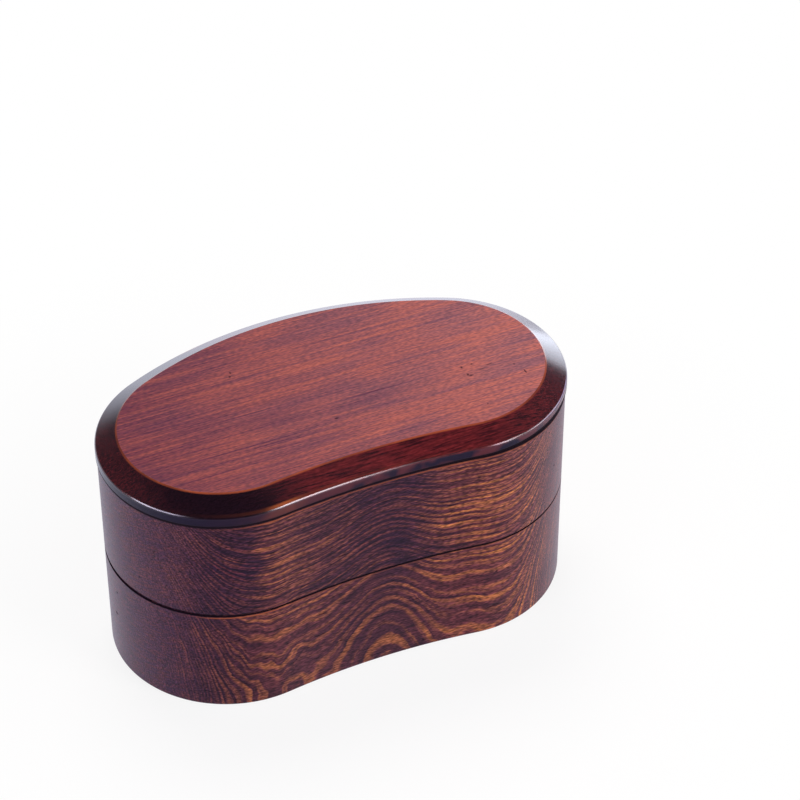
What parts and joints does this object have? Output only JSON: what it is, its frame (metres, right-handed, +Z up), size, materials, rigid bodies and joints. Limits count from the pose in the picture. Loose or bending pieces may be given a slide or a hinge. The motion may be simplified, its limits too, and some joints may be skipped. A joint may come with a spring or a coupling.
{
  "type": "two-tier bento box",
  "caption": "Kidney-shaped lacquered wooden lunch box with two stacked carved trays, a loose divider and a bevelled lift-off lid.",
  "frame": {"origin": "middle of the box's footprint, on the surface that it stands on", "axes": "+X along the length of the box, -Y towards its hollow front, +Z up"},
  "size_m": [0.186, 0.105, 0.1007],
  "materials": {
    "tray_wood": "glossy dark brown lacquer over figured solid wood",
    "divider_wood": "satin brown lacquer over straight-grained board",
    "lid_wood": "satin red-brown lacquer, straight fine grain along the length, darker glossy bevel"
  },
  "bodies": {
    "lower_tray": {"lower_tray": "tray_wood"},
    "upper_tray": {"upper_tray": "tray_wood"},
    "divider": {"divider": "divider_wood"},
    "lid": {"lid": "lid_wood"}
  },
  "joints": [
    {"name": "upper_tray_lift", "type": "slide", "parent": "lower_tray", "child": "upper_tray", "axis": [0, 0, 1], "range_m": [0, 0.11]},
    {"name": "lid_lift", "type": "slide", "parent": "upper_tray", "child": "lid", "axis": [0, 0, 1], "range_m": [0, 0.11]},
    {"name": "divider_lift", "type": "slide", "parent": "upper_tray", "child": "divider", "axis": [0, 0, 1], "range_m": [0, 0.055]}
  ],
  "couplings": [
    {"joint": "divider_lift", "follows": "lid_lift", "ratio": 0.5}
  ]
}
